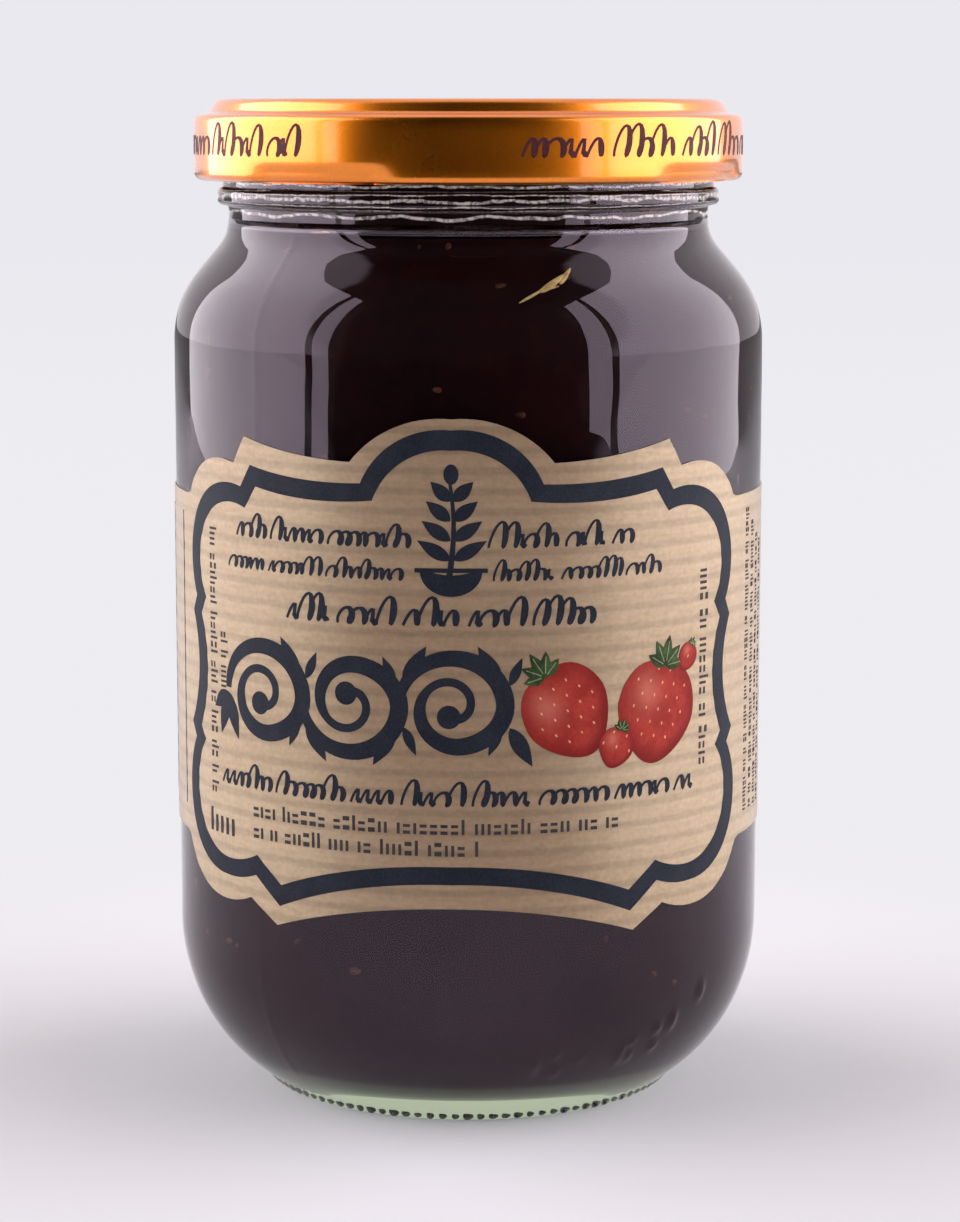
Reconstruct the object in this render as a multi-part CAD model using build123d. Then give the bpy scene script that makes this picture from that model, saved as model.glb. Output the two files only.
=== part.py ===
from build123d import *
from math import asin, cos, degrees, radians, sin, tan
import os

# A filled jam jar: a blown glass jar, the jam in it, a pressed twist-off lid and a wrap-round paper
# label. Millimetres, +Z up. The origin is on the jar's axis, on the surface that the jar stands on,
# and the label's middle faces -Y. Every round piece is an outline in (radius, height) turned about Z.

# glass jar, body
body_radius = 35.35
jar_height = 118.3          # base to rim
wall = 3.0
heel_reach = 19.1           # the heel is a quarter of an ellipse: its level half-axis
heel_drop = 21.6            # and its upright half-axis
heel_top = 19.9             # height of the ellipse's centre, where the straight side begins
bearing_radius = 24.7       # ring that the jar stands on, to its outer edge
bearing_width = 1.6
bearing_lift = 0.85         # the ring's outside rises this far to the heel
push_up = 2.4               # hollow under the middle of the base
middle_flat = 3.0           # flat spot at the middle of the base, inside and out
floor_edge = 3.7            # height of the glass floor at its edge
floor_crown = 4.7           # and at its middle

# glass jar, shoulder and neck finish, measured down from the rim
neck_radius = 28.7
shoulder_lean = 39.8        # degrees away from upright
shoulder_low_bend = 12.8
shoulder_high_bend = 5.2
shoulder_drop = 15.6        # rim to the corner between neck and shoulder
bead_out = 1.3                 # beyond the neck
bead_low = 12.3             # rim to the underside of the bead
bead_high = 10.0            # rim to the top of the bead
bead_round = 0.6
finish_out = 0.7               # wall that carries the thread, beyond the neck
rim_outer_round = 1.2
rim_inner_round = 0.9

# thread: short ridges, one for each lug of the lid
lugs = 4
first_lug = 58.0            # degrees round from the front, towards +X
thread_height = 1.2         # how far a ridge stands out
thread_width = 2.0          # its size up and down at its root
thread_crest = 0.6          # and at its crest
thread_arc = 64.0
thread_lead = 2.6           # degrees of climb
thread_root = 0.8           # how far a ridge is rooted in the wall
lug_play = 0.15             # room between a lug and the ridge over it

# lid
gauge = 0.25                # sheet metal with its lacquer
skirt_room = 1.9            # between the thread's crest and the inside of the skirt
lid_height = 9.5
crest_out = 0.95               # raised ring over the rim: its outer corner, beyond the rim
crest_lean = 0.25              # and how far it leans out on its way down
crest_bend = 1.2
crest_in = 0.5                 # its inner corner, inside the bore
crest_inner_lean = 0.6
crest_drop = 1.55           # crest down to the shoulder
shoulder_slope = 0.45       # how much the lid's shoulder falls on its way out
shoulder_bend = 0.8
cove_bend = 0.5
panel_drop = 1.2            # crest down to the sunk panel
panel_bend = 0.8
button_radius = 9.0
button_rise = 0.35
button_slope = 1.0             # width of the button's slope
button_bend = 1.5
hem_radius = 0.9            # rolled lower edge
lug_arc = 31.0
lug_reach = 0.9             # how far a lug reaches in from the hem
lug_thick = 1.0
dent_depth = 0.4            # the hem is pressed in at each lug
dent_height = 1.25
rim_gap = 0.05              # between the rim and the lid's underside

# jam
jam_drop = 13.0                # rim to the top of the jam
jam_gap = 0.05

# label: a plaque with a band running round both sides, laid out flat as (along, up)
paper = 0.12
glue_gap = 0.05
label_turn = -3.1           # degrees: the label's middle sits a little left of the front
label_foot = 24.3           # lowest points of the plaque
band_low = 7.9              # band, above the label's foot
band_high = 48.55
back_gap = 29.0             # bare glass left between the band's two ends
arch_top = 59.2
arch_half = 11.7
arch_foot = 54.2
arch_quarter = (8.2, 57.3)  # a point on the arch
sag_middle = (19.0, 54.8)   # the dipped edge beside the arch passes here
horn = (26.65, 56.3)
horn_notch = (28.65, 53.05)
high_lobe = (35.1, 52.65)   # a point on the upper lobe
high_lobe_end = 39.4
belly = 3.7                 # middle of the lower edge
belly_quarter = (11.0, 2.8)
toe = 21.8                  # lowest point, out from the middle
toe_notch = (26.1, 2.65)
low_lobe = (34.5, 2.3)
low_lobe_end = 40.9

inner_radius = body_radius - wall
bore = neck_radius - wall
bead_radius = neck_radius + bead_out
finish_radius = neck_radius + finish_out
crest_radius = finish_radius + crest_out
crest_inner_radius = bore - crest_in
jam_level = jar_height - jam_drop
heel_centre = body_radius - heel_reach
lean = radians(shoulder_lean)
thread_radius = finish_radius + thread_height
skirt_radius = thread_radius + skirt_room + gauge
lid_top = jar_height + rim_gap + gauge
lid_bottom = lid_top - lid_height
paper_inner = body_radius + glue_gap
paper_outer = paper_inner + paper


def turned(*lines):
    """A closed outline in (radius, height), turned about Z."""
    outline = make_face([edge for line in lines for edge in line.edges()])
    return revolve(Plane.XZ * outline, Axis.Z, 360)


def shoulder_corners(inset):
    """The shoulder's two corners, neck first, moved inwards by inset, and the two bends there."""
    shift = inset * tan(lean / 2)
    neck_z = jar_height - shoulder_drop
    fall = (body_radius - neck_radius) / tan(lean)
    slope = (body_radius - neck_radius) / sin(lean)
    share = min(1, 0.98 * slope / ((shoulder_low_bend + shoulder_high_bend) * tan(lean / 2)))
    neck = (neck_radius - inset, neck_z - shift)
    body = (body_radius - inset, neck_z - fall - shift)
    return neck, body, shoulder_high_bend * share + inset, max(shoulder_low_bend * share - inset, 0.5)


def cavity_line(gap, top):
    """The glass's inner surface from (bore, top) down to the middle of the floor, moved in by gap."""
    neck, body, high_bend, low_bend = shoulder_corners(wall + gap)
    side = FilletPolyline((neck[0], top), neck, body, (body[0], heel_top), radius=[high_bend, low_bend])
    heel = EllipticalCenterArc(
        (heel_centre, heel_top), body[0] - heel_centre, heel_top - floor_edge - gap, 270,
        arc_size=90)
    floor = TangentArc(
        (middle_flat, floor_crown + gap), (heel_centre, floor_edge + gap), tangent=(1, 0))
    return [side, heel, floor, Line((0, floor_crown + gap), (middle_flat, floor_crown + gap))]


def thread_ridge(turn):
    """One ridge: a blunt wedge turned through its arc and tipped about its middle to climb."""
    lug_top = lid_bottom + hem_radius + lug_thick / 2
    middle = lug_top + lug_play + thread_width / 2 + thread_climb() / 2
    foot = finish_radius - thread_root
    section = Plane.XZ * make_face(Polyline(
        (foot, middle - thread_width / 2), (thread_radius, middle - thread_crest / 2),
        (thread_radius, middle + thread_crest / 2), (foot, middle + thread_width / 2), close=True))
    ridge = revolve(section, Axis.Z, thread_arc).rotate(Axis.Z, -thread_arc / 2)
    tipped = ridge.rotate(Axis((0, 0, middle), (1, 0, 0)), thread_lead)
    return tipped.rotate(Axis.Z, turn)


def thread_climb():
    """How far a ridge rises over its arc."""
    return 2 * thread_radius * sin(radians(thread_arc / 2)) * tan(radians(thread_lead))


def lug_turns():
    """Angle of each lug about Z, from +X."""
    return [first_lug - 90 + 360 / lugs * number for number in range(lugs)]


def glass_jar():
    neck, body, high_bend, low_bend = shoulder_corners(0)
    heel_angle = degrees(asin((heel_top - bearing_lift) / heel_drop))
    heel_start = heel_centre + heel_reach * cos(radians(heel_angle))
    bead_floor = jar_height - bead_low
    bead_roof = jar_height - bead_high
    flat = Line((0, push_up), (middle_flat, push_up))
    hollow = TangentArc((middle_flat, push_up), (bearing_radius - bearing_width, 0), tangent=(1, 0))
    ring = Line((bearing_radius - bearing_width, 0), (bearing_radius, 0))
    lift = Line((bearing_radius, 0), (heel_start, bearing_lift))
    heel = EllipticalCenterArc((heel_centre, heel_top), heel_reach, heel_drop, -heel_angle,
                               arc_size=heel_angle)
    side = FilletPolyline(
        (body_radius, heel_top), body, neck, (neck_radius, bead_floor),
        (bead_radius, bead_floor + bead_round / 2), (bead_radius, bead_roof - bead_round / 2),
        (finish_radius, bead_roof), (finish_radius, jar_height), (bore, jar_height),
        (bore, jar_height - rim_inner_round * 2),
        radius=[low_bend, high_bend, bead_round / 3, bead_round, bead_round,
                bead_round / 3, rim_outer_round, rim_inner_round])
    axis = Line((0, floor_crown), (0, push_up))
    inside = cavity_line(0, jar_height - rim_inner_round * 2)
    jar = turned(flat, hollow, ring, lift, heel, side, *inside, axis)
    for turn in lug_turns():
        jar += thread_ridge(turn + thread_arc / 3)
    return jar


def jam():
    rim = (bore - jam_gap, jam_level)
    inside = cavity_line(jam_gap, jam_level)
    axis = Line((0, floor_crown + jam_gap), (0, jam_level))
    return turned(*inside, axis, Line((0, jam_level), rim))


def lid_line(inset):
    """The lid's line from the middle of its panel to the hem, moved inwards and down by inset."""
    top = lid_top - inset
    panel = top - panel_drop
    foot = top - crest_drop
    return FilletPolyline(
        (0, panel + button_rise), (button_radius - inset, panel + button_rise),
        (button_radius + button_slope - inset, panel), (crest_inner_radius - inset, panel),
        (crest_inner_radius + crest_inner_lean - inset, top), (crest_radius - inset, top),
        (crest_radius + crest_lean - inset, foot), (skirt_radius - inset, foot - shoulder_slope),
        (skirt_radius - inset, lid_bottom + hem_radius),
        radius=[button_bend, button_bend, panel_bend - inset, panel_bend, crest_bend - inset, cove_bend + inset,
                shoulder_bend - inset])


def ring_sector(low_radius, high_radius, low, high, arc, turn):
    """A ring of rectangular section, arc degrees long, with its middle at turn."""
    section = Plane.XZ * make_face(Polyline(
        (low_radius, low), (high_radius, low), (high_radius, high), (low_radius, high), close=True))
    return revolve(section, Axis.Z, arc).rotate(Axis.Z, turn - arc / 2)


def lid():
    outer = lid_line(0)
    inner = lid_line(gauge)
    cap = turned(outer, Line(outer @ 1, inner @ 1), inner, Line(inner @ 0, outer @ 0))
    hem_z = lid_bottom + hem_radius
    hem_middle = skirt_radius - hem_radius
    hem = revolve(Plane.XZ * (Pos(hem_middle, hem_z) * Circle(hem_radius)), Axis.Z, 360)
    cap += hem
    for turn in lug_turns():
        cap -= ring_sector(skirt_radius - dent_depth, skirt_radius + 1, lid_bottom - 1,
                           lid_bottom + dent_height, lug_arc, turn)
        cap += ring_sector(hem_middle - hem_radius - lug_reach, hem_middle,
                           hem_z - lug_thick / 2, hem_z + lug_thick / 2, lug_arc, turn)
    return cap


def on_paper(along, up):
    """A point of the flat label, bent round the jar and seen from the front."""
    return (paper_outer * sin(along / paper_outer), label_foot + up)


def plaque_half():
    """Right half of the plaque's edge, from the top of the arch down to the middle of its belly."""
    horn_at = on_paper(*horn)
    high_end = on_paper(high_lobe_end, band_high)
    low_end = on_paper(low_lobe_end, band_low)
    toe_at = on_paper(toe, 0)
    return [
        ThreePointArc(on_paper(0, arch_top), on_paper(*arch_quarter), on_paper(arch_half, arch_foot)),
        ThreePointArc(on_paper(arch_half, arch_foot), on_paper(*sag_middle), horn_at),
        Line(horn_at, on_paper(*horn_notch)),
        ThreePointArc(on_paper(*horn_notch), on_paper(*high_lobe), high_end),
        Line(high_end, low_end),
        ThreePointArc(low_end, on_paper(*low_lobe), on_paper(*toe_notch)),
        Line(on_paper(*toe_notch), toe_at),
        ThreePointArc(toe_at, on_paper(*belly_quarter), on_paper(0, belly)),
    ]


def label():
    middle = Line(on_paper(0, belly), on_paper(0, arch_top))
    half = Plane.XZ * make_face(plaque_half() + [middle])
    cutter = extrude(half, paper_outer + 1, dir=(0, -1, 0))
    right = cutter & ring_sector(paper_inner, paper_outer, label_foot - 1,
                                 label_foot + arch_top + 1, 180, -90)
    left = mirror(right, Plane.YZ)
    half_arc = 180 - degrees(back_gap / 2 / paper_outer)
    band = ring_sector(paper_inner, paper_outer, label_foot + band_low, label_foot + band_high,
                       2 * half_arc, -90)
    return (band + right + left).rotate(Axis.Z, label_turn)


os.makedirs("parts", exist_ok=True)
for name, piece in (("glass", glass_jar()), ("jam", jam()), ("lid", lid()), ("label", label())):
    export_step(piece, f"parts/{name}.step")
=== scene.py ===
import math

import bmesh
import bpy
import numpy as np
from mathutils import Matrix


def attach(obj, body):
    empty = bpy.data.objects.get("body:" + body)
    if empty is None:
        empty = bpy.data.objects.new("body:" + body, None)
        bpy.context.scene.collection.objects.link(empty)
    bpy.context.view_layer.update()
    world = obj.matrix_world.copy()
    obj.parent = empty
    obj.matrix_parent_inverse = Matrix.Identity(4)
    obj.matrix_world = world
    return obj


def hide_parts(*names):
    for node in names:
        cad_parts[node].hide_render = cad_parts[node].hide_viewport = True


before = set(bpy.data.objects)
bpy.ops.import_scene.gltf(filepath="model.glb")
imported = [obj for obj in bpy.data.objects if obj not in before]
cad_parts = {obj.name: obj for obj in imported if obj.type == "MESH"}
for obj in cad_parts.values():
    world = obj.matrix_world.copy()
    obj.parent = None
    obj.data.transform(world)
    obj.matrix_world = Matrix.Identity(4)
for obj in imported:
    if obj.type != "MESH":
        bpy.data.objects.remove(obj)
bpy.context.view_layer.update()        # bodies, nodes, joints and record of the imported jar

mm = 0.001
tau = 2 * math.pi

# Where the jar is seen from, how it is lit and what it stands on. Directions round the jar count in
# degrees from the front, where the camera is, towards the right.

studio = dict(
    cameraAt=(0.0, -0.400, 0.1181), cameraDown=8.73, lens=97.5, shiftX=0.0096,
    background=(0.815, 0.812, 0.858), floorTint=(0.80, 0.79, 0.822), floorRadius=3.0,
    fadeNear=(0.045, 0.15), fadeFar=(0.5, 2.5), tableFar=(0.850, 0.840, 0.875), panelX=0.62,
    panelLow=-0.05, panelHigh=0.95,
    panels=((-1, -0.308, 0.64, 2.9), (-1, -0.457, -0.350, 2.5),
            (1, -0.385, 0.47, 3.0), (1, -0.603, -0.432, 2.5)),
    panelTint=(1.0, 0.94, 0.985), openingDark=0.010, openingFill=0.02, roomGlow=0.95, roomTop=0.50,
    openingCos=(0.50, 0.62), openingRise=0.45, mirrorEnd=(-0.42, -0.52))


def node(tree, kind, **inputs):
    made = tree.nodes.new(kind)
    for key, value in inputs.items():
        made.inputs[key.replace("_", " ")].default_value = value
    return made


def mathNode(tree, operation, *values, clamp=False):
    # a Math node whose inputs are numbers or sockets
    made = tree.nodes.new("ShaderNodeMath")
    made.operation = operation
    made.use_clamp = clamp
    for socket, value in zip(made.inputs, values):
        if isinstance(value, (int, float)):
            socket.default_value = value
        else:
            tree.links.new(value, socket)
    return made.outputs[0]


def rangeNode(tree, value, fromMin, fromMax, toMin=0.0, toMax=1.0):
    # a value carried smoothly from one range to another, held at both ends
    made = tree.nodes.new("ShaderNodeMapRange")
    made.interpolation_type = "SMOOTHSTEP"
    for name, number in zip(("From Min", "From Max", "To Min", "To Max"), (fromMin, fromMax, toMin, toMax)):
        made.inputs[name].default_value = number
    tree.links.new(value, made.inputs["Value"])
    return made.outputs["Result"]


def mixNode(tree, factor, first, second):
    # two colours mixed, each a socket or a plain colour
    made = tree.nodes.new("ShaderNodeMix")
    made.data_type = "RGBA"
    colors = [socket for socket in made.inputs if socket.type == "RGBA"]
    for socket, value in zip(colors, (first, second)):
        if isinstance(value, tuple):
            socket.default_value = (*value[:3], 1)
        else:
            tree.links.new(value, socket)
    tree.links.new(factor, made.inputs["Factor"])
    return [socket for socket in made.outputs if socket.type == "RGBA"][0]


def makeCamera():
    data = bpy.data.cameras.new("viewCamera")
    data.lens = studio["lens"]
    data.sensor_width = 36
    data.shift_x = studio["shiftX"]
    camera = bpy.data.objects.new("viewCamera", data)
    camera.location = studio["cameraAt"]
    camera.rotation_euler = (math.radians(90 - studio["cameraDown"]), 0, 0)
    bpy.context.scene.collection.objects.link(camera)
    bpy.context.scene.camera = camera


def makePanels():
    # upright cloth panels left and right, each in two widths with a dark seam between them
    height = studio["panelHigh"] - studio["panelLow"]
    for side, start, end, radiance in studio["panels"]:
        data = bpy.data.lights.new("sidePanel", "AREA")
        data.shape = "RECTANGLE"
        data.size = end - start
        data.size_y = height
        data.energy = radiance * math.pi * data.size * height
        data.color = studio["panelTint"]
        panel = bpy.data.objects.new("sidePanel", data)
        panel.location = (side * studio["panelX"], (start + end) / 2,
                          (studio["panelLow"] + studio["panelHigh"]) / 2)
        panel.rotation_euler = (math.radians(90), 0, side * math.radians(90))
        panel.visible_camera = False
        bpy.context.scene.collection.objects.link(panel)


def makeWorld():
    # pale all round but for the dark opening that the camera looks through, which widens upwards
    world = bpy.data.worlds.new("tent")
    world.use_nodes = True
    bpy.context.scene.world = world
    tree = world.node_tree
    tree.nodes.clear()
    link = tree.links.new
    way = node(tree, "ShaderNodeTexCoord")
    split = node(tree, "ShaderNodeSeparateXYZ")
    link(way.outputs["Generated"], split.inputs[0])
    x, y, z = split.outputs
    flat = mathNode(tree, "SQRT", mathNode(tree, "ADD", mathNode(tree, "MULTIPLY", x, x),
                                           mathNode(tree, "MULTIPLY", y, y)))
    facing = mathNode(tree, "DIVIDE", mathNode(tree, "MULTIPLY", y, -1.0),
                      mathNode(tree, "MAXIMUM", flat, 0.001))
    wider = mathNode(tree, "MULTIPLY_ADD", mathNode(tree, "MAXIMUM", z, 0.0), studio["openingRise"], facing)
    opening = rangeNode(tree, wider, *studio["openingCos"])
    rays = node(tree, "ShaderNodeLightPath")
    glow = studio["roomGlow"]
    sideways = tuple(glow * tint for tint in studio["panelTint"])
    inMirror = mixNode(tree, opening, sideways, (studio["openingDark"],) * 3)
    onMatt = mixNode(tree, opening, (studio["roomTop"],) * 3, (studio["openingFill"],) * 3)
    lit = mixNode(tree, rays.outputs["Is Glossy Ray"], onMatt, inMirror)
    straight = mathNode(tree, "MAXIMUM", rays.outputs["Is Camera Ray"], rays.outputs["Is Transmission Ray"])
    seen = mixNode(tree, straight, lit, studio["background"])
    shine = node(tree, "ShaderNodeBackground")
    out = node(tree, "ShaderNodeOutputWorld")
    link(seen, shine.inputs["Color"])
    link(shine.outputs[0], out.inputs["Surface"])


def makeFloor():
    # a pale disc that fades into the background, and that ends in mirrors a little way before the jar
    bpy.ops.mesh.primitive_circle_add(vertices=96, radius=studio["floorRadius"], fill_type="NGON")
    floor = bpy.context.object
    floor.name = "floor"
    paint = bpy.data.materials.new("paleTable")
    paint.use_nodes = True
    tree = paint.node_tree
    tree.nodes.clear()
    link = tree.links.new
    where = node(tree, "ShaderNodeTexCoord")
    far = node(tree, "ShaderNodeVectorMath")
    far.operation = "LENGTH"
    link(where.outputs["Object"], far.inputs[0])
    split = node(tree, "ShaderNodeSeparateXYZ")
    link(where.outputs["Object"], split.inputs[0])
    rays = node(tree, "ShaderNodeLightPath")
    fade = rangeNode(tree, far.outputs["Value"], *studio["fadeNear"])
    fadeFar = rangeNode(tree, far.outputs["Value"], *studio["fadeFar"])
    straight = mathNode(tree, "MAXIMUM", rays.outputs["Is Camera Ray"], rays.outputs["Is Transmission Ray"])
    past = rangeNode(tree, split.outputs["Y"], *studio["mirrorEnd"])
    matt = node(tree, "ShaderNodeBsdfDiffuse", Color=(*studio["floorTint"], 1))
    glow = node(tree, "ShaderNodeEmission")
    link(mixNode(tree, fadeFar, studio["tableFar"], studio["background"]), glow.inputs["Color"])
    dark = node(tree, "ShaderNodeEmission", Color=(*[studio["openingDark"]] * 3, 1))
    seen = node(tree, "ShaderNodeMixShader")
    mirrored = node(tree, "ShaderNodeMixShader")
    out = node(tree, "ShaderNodeOutputMaterial")
    link(mathNode(tree, "MULTIPLY", fade, straight), seen.inputs["Fac"])
    link(matt.outputs[0], seen.inputs[1])
    link(glow.outputs[0], seen.inputs[2])
    link(mathNode(tree, "MULTIPLY", past, rays.outputs["Is Glossy Ray"]), mirrored.inputs["Fac"])
    link(seen.outputs[0], mirrored.inputs[1])
    link(dark.outputs[0], mirrored.inputs[2])
    link(mirrored.outputs[0], out.inputs["Surface"])
    floor.data.materials.append(paint)


bpy.context.scene.view_settings.view_transform = "Standard"
makeCamera()
makePanels()
makeWorld()
makeFloor()
print("stage: camera, lights and floor are set")

# Shapes as arrays: profiles turned round the jar's axis, and flat shapes laid on a round wall.


def filleted(corners, bends, arcStep, lineStep):
    # a line through the corners, each inner corner replaced by an arc of its bend that touches both sides
    corners = [np.array(corner, float) for corner in corners]
    pieces = [corners[0][None]]
    for before, corner, after, bend in zip(corners, corners[1:], corners[2:], bends):
        back = (before - corner) / np.linalg.norm(before - corner)
        ahead = (after - corner) / np.linalg.norm(after - corner)
        turn = math.pi - math.acos(float(np.clip(back @ ahead, -1, 1)))
        middle = (back + ahead) / np.linalg.norm(back + ahead) * bend / math.cos(turn / 2) + corner
        start = corner + back * bend * math.tan(turn / 2) - middle
        end = corner + ahead * bend * math.tan(turn / 2) - middle
        share = np.linspace(0, 1, max(5, math.ceil(bend * turn / arcStep)))[:, None]
        swept = np.sin((1 - share) * turn) * start + np.sin(share * turn) * end
        pieces.append(middle + swept / math.sin(turn))
    pieces.append(corners[-1][None])
    return spaced(np.vstack(pieces), lineStep)


def spaced(line, step):
    # the same line with points added evenly wherever two lie more than a step apart
    parts = []
    for start, end in zip(line, line[1:]):
        count = max(1, math.ceil(np.linalg.norm(end - start) / step))
        parts.append(start + (end - start) * np.arange(count)[:, None] / count)
    parts.append(line[-1:])
    return np.vstack(parts)


def lobe(value, middle, width):
    # half a cosine wave: 1 at the middle, falling smoothly to 0 at half the width on each side
    away = np.clip(np.abs(value - middle) / (width / 2), 0, 1)
    return (1 + np.cos(math.pi * away)) / 2


def eased(value, start, end):
    # 3t^2 - 2t^3 of t, the place of the value between start and end, held at 0 and 1
    share = np.clip((value - start) / (end - start), 0, 1)
    return share * share * (3 - 2 * share)


def around(angle, direction):
    # how far an angle in radians lies from a direction in degrees, from -180 to 180
    return (np.degrees(angle) - direction + 180) % 360 - 180


def ripple(angle, height, seed, waves, turns, climb):
    # mean of sine waves, each with a whole number of turns round the jar and its own climb per millimetre
    picks = np.random.default_rng(seed)
    total = 0
    for number in range(waves):
        way = picks.integers(*turns) * angle + picks.uniform(*climb) * height + picks.uniform(0, tau)
        total = total + np.sin(way)
    return total / waves


def gridFaces(rows, columns, closeRows=False, closeColumns=True, offset=0):
    # four-sided faces of a grid of points, numbered row after row
    r = np.arange(rows if closeRows else rows - 1)[:, None]
    c = np.arange(columns if closeColumns else columns - 1)[None]
    r2, c2 = (r + 1) % rows, (c + 1) % columns
    quads = np.stack([r * columns + c, r * columns + c2, r2 * columns + c2, r2 * columns + c], -1)
    return quads.reshape(-1, 4) + offset


def turned(line, count, shift=None):
    # x = radius sin a, y = -radius cos a, z = height, with a the angle from the front; the line starts and
    # ends on the axis, and shift gives each point of the grid its own radius and height
    inner = line[1:-1]
    angle = np.arange(count) * tau / count
    radius = np.repeat(inner[:, :1], count, 1)
    height = np.repeat(inner[:, 1:], count, 1)
    if shift:
        radius, height = shift(radius, height, angle[None])
    points = np.stack([radius * np.sin(angle), -radius * np.cos(angle), height], -1).reshape(-1, 3)
    poles = np.array([[0, 0, line[0, 1]], [0, 0, line[-1, 1]]])
    faces = gridFaces(len(inner), count).tolist()
    first = np.arange(count)
    after = (first + 1) % count
    end = (len(inner) - 1) * count
    faces += np.stack([np.full(count, len(points)), after, first], -1).tolist()
    faces += np.stack([np.full(count, len(points) + 1), first + end, after + end], -1).tolist()
    return np.vstack([points, poles]), faces


def addPiece(name, points, faces, material, replaced=(), crease=None, mend=False):
    # a mesh of points in millimetres that rides on the one body
    mesh = bpy.data.meshes.new(name)
    mesh.from_pydata((np.asarray(points) * mm).tolist(), [], faces)
    mesh.validate()
    if mend:
        work = bmesh.new()
        work.from_mesh(mesh)
        bmesh.ops.recalc_face_normals(work, faces=work.faces)
        work.to_mesh(mesh)
        work.free()
    mesh.polygons.foreach_set("use_smooth", np.full(len(mesh.polygons), True))
    if crease:
        mesh.set_sharp_from_angle(angle=math.radians(crease))
    mesh.materials.append(material)
    piece = bpy.data.objects.new(name, mesh)
    bpy.context.scene.collection.objects.link(piece)
    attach(piece, "root")
    for cadNode in replaced:
        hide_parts(cadNode)
    triangles = sum(len(face) - 2 for face in faces)
    print(f"  {name}: {triangles} triangles")
    return piece


# Finishes. One node group breaks a colour up with clouds and grain, and each material sets its own values.


def makeSpeckle():
    group = bpy.data.node_groups.new("speckle", "ShaderNodeTree")
    sockets = (("Base", "Color", (0.5, 0.5, 0.5, 1)), ("Dark", "Color", (0, 0, 0, 1)),
               ("Cloud Scale", "Float", 100.0), ("Grain Scale", "Float", 2000.0),
               ("Cloud Share", "Float", 0.3), ("Grain Share", "Float", 0.2))
    for name, kind, value in sockets:
        made = group.interface.new_socket(name, in_out="INPUT", socket_type="NodeSocket" + kind)
        made.default_value = value
    group.interface.new_socket("Color", in_out="OUTPUT", socket_type="NodeSocketColor")
    group.interface.new_socket("Grain", in_out="OUTPUT", socket_type="NodeSocketFloat")
    link = group.links.new
    start = group.nodes.new("NodeGroupInput")
    end = group.nodes.new("NodeGroupOutput")
    where = node(group, "ShaderNodeTexCoord")
    cloud = node(group, "ShaderNodeTexNoise", Detail=4.0)
    grain = node(group, "ShaderNodeTexNoise", Detail=6.0)
    for noise, scale in ((cloud, "Cloud Scale"), (grain, "Grain Scale")):
        link(where.outputs["Object"], noise.inputs["Vector"])
        link(start.outputs[scale], noise.inputs["Scale"])
    clouds = rangeNode(group, cloud.outputs["Fac"], 0.3, 0.7)
    grains = rangeNode(group, grain.outputs["Fac"], 0.3, 0.7)
    share = mathNode(group, "ADD", mathNode(group, "MULTIPLY", clouds, start.outputs["Cloud Share"]),
                     mathNode(group, "MULTIPLY", grains, start.outputs["Grain Share"]), clamp=True)
    link(mixNode(group, share, start.outputs["Base"], start.outputs["Dark"]), end.inputs["Color"])
    link(grain.outputs["Fac"], end.inputs["Grain"])
    return group


speckle = makeSpeckle()


def finish(name, base, dark, roughness, cloudScale, grainScale, cloudShare=0.5, grainShare=0.3, bump=0.0,
           bumpDepth=0.00002, **sockets):
    # a Principled surface coloured by the speckle group, with the group's grain as bump
    material = bpy.data.materials.new(name)
    material.use_nodes = True
    tree = material.node_tree
    shader = tree.nodes["Principled BSDF"]
    shader.inputs["Roughness"].default_value = roughness
    for key, value in sockets.items():
        shader.inputs[key.replace("_", " ")].default_value = value
    broken = node(tree, "ShaderNodeGroup")
    broken.name = "speckle"
    broken.node_tree = speckle
    values = dict(Base=(*base, 1), Dark=(*dark, 1), Cloud_Scale=cloudScale, Grain_Scale=grainScale,
                  Cloud_Share=cloudShare, Grain_Share=grainShare)
    for key, value in values.items():
        broken.inputs[key.replace("_", " ")].default_value = value
    tree.links.new(broken.outputs["Color"], shader.inputs["Base Color"])
    if bump:
        relief = node(tree, "ShaderNodeBump", Strength=bump, Distance=bumpDepth)
        tree.links.new(broken.outputs["Grain"], relief.inputs["Height"])
        tree.links.new(relief.outputs["Normal"], shader.inputs["Normal"])
    return material


def makeGlass():
    # clear glass that lets light through to what stands behind and under it
    material = bpy.data.materials.new("clearGlass")
    material.use_nodes = True
    tree = material.node_tree
    shader = tree.nodes["Principled BSDF"]
    shader.inputs["Base Color"].default_value = (0.955, 0.985, 0.965, 1)
    shader.inputs["Transmission Weight"].default_value = 1
    shader.inputs["Roughness"].default_value = 0
    shader.inputs["IOR"].default_value = 1.5
    shader.inputs["Specular Tint"].default_value = (0.97, 0.815, 0.985, 1)
    through = node(tree, "ShaderNodeBsdfTransparent", Color=(0.93, 0.97, 0.94, 1))
    rays = node(tree, "ShaderNodeLightPath")
    either = mathNode(tree, "MAXIMUM", rays.outputs["Is Shadow Ray"], rays.outputs["Is Diffuse Ray"])
    mix = node(tree, "ShaderNodeMixShader")
    tree.links.new(either, mix.inputs["Fac"])
    tree.links.new(shader.outputs[0], mix.inputs[1])
    tree.links.new(through.outputs[0], mix.inputs[2])
    tree.links.new(mix.outputs[0], tree.nodes["Material Output"].inputs["Surface"])
    return material


clearGlass = makeGlass()

# The glass jar: one closed skin, its outside from under the base up to the rim, then its inside back down.

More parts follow.
